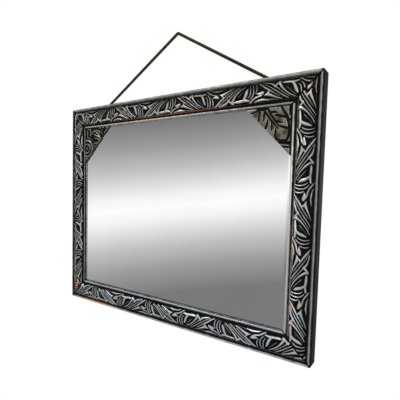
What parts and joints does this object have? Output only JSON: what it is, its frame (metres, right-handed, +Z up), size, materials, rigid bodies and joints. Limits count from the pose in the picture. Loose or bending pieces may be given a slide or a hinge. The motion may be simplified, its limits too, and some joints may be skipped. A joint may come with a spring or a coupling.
{
  "type": "wall mirror",
  "caption": "Wide bevelled wall mirror in a mitred frame carved with running leaves, with carved plates in its top corners, hung by a cord over a nail.",
  "frame": {"origin": "the nail seat: the point at the top of the hanging cord that rests on the nail", "axes": "+X to the viewer's right along the top rail, +Y from the glass towards the wall, +Z up"},
  "size_m": [0.554, 0.0356, 0.5474],
  "materials": {
    "carved_wood": "blackened, with silver rubbed over the carved ridges",
    "plate_wood": "blackened, with dull silver on the carved ridges",
    "silvered_glass": "polished, silvered on the back",
    "kraft_paper": "plain brown",
    "hardboard": "raw pressed board",
    "nail_steel": "dull",
    "hanger_brass": "tarnished",
    "twisted_cord": "twisted fibre"
  },
  "bodies": {
    "frame": {"top_rail": "carved_wood", "bottom_rail": "carved_wood", "left_stile": "carved_wood", "right_stile": "carved_wood", "mitre_nails": "nail_steel", "mirror_glass": "silvered_glass", "left_corner_plate": "plate_wood", "right_corner_plate": "plate_wood", "backing_paper": "kraft_paper", "backboard": "hardboard", "backboard_brads": "nail_steel", "left_hanger_strap": "hanger_brass", "right_hanger_strap": "hanger_brass", "hanger_screws": "hanger_brass"},
    "hanger": {"left_ring": "hanger_brass", "right_ring": "hanger_brass", "hanging_cord": "twisted_cord", "cord_knots": "twisted_cord"}
  },
  "joints": [
    {"name": "cord_swing", "type": "hinge", "parent": "frame", "child": "hanger", "pos_m": [0, -0.00455, -0.1554], "axis": [-1, 0, 0], "range_deg": [0, 105]}
  ]
}
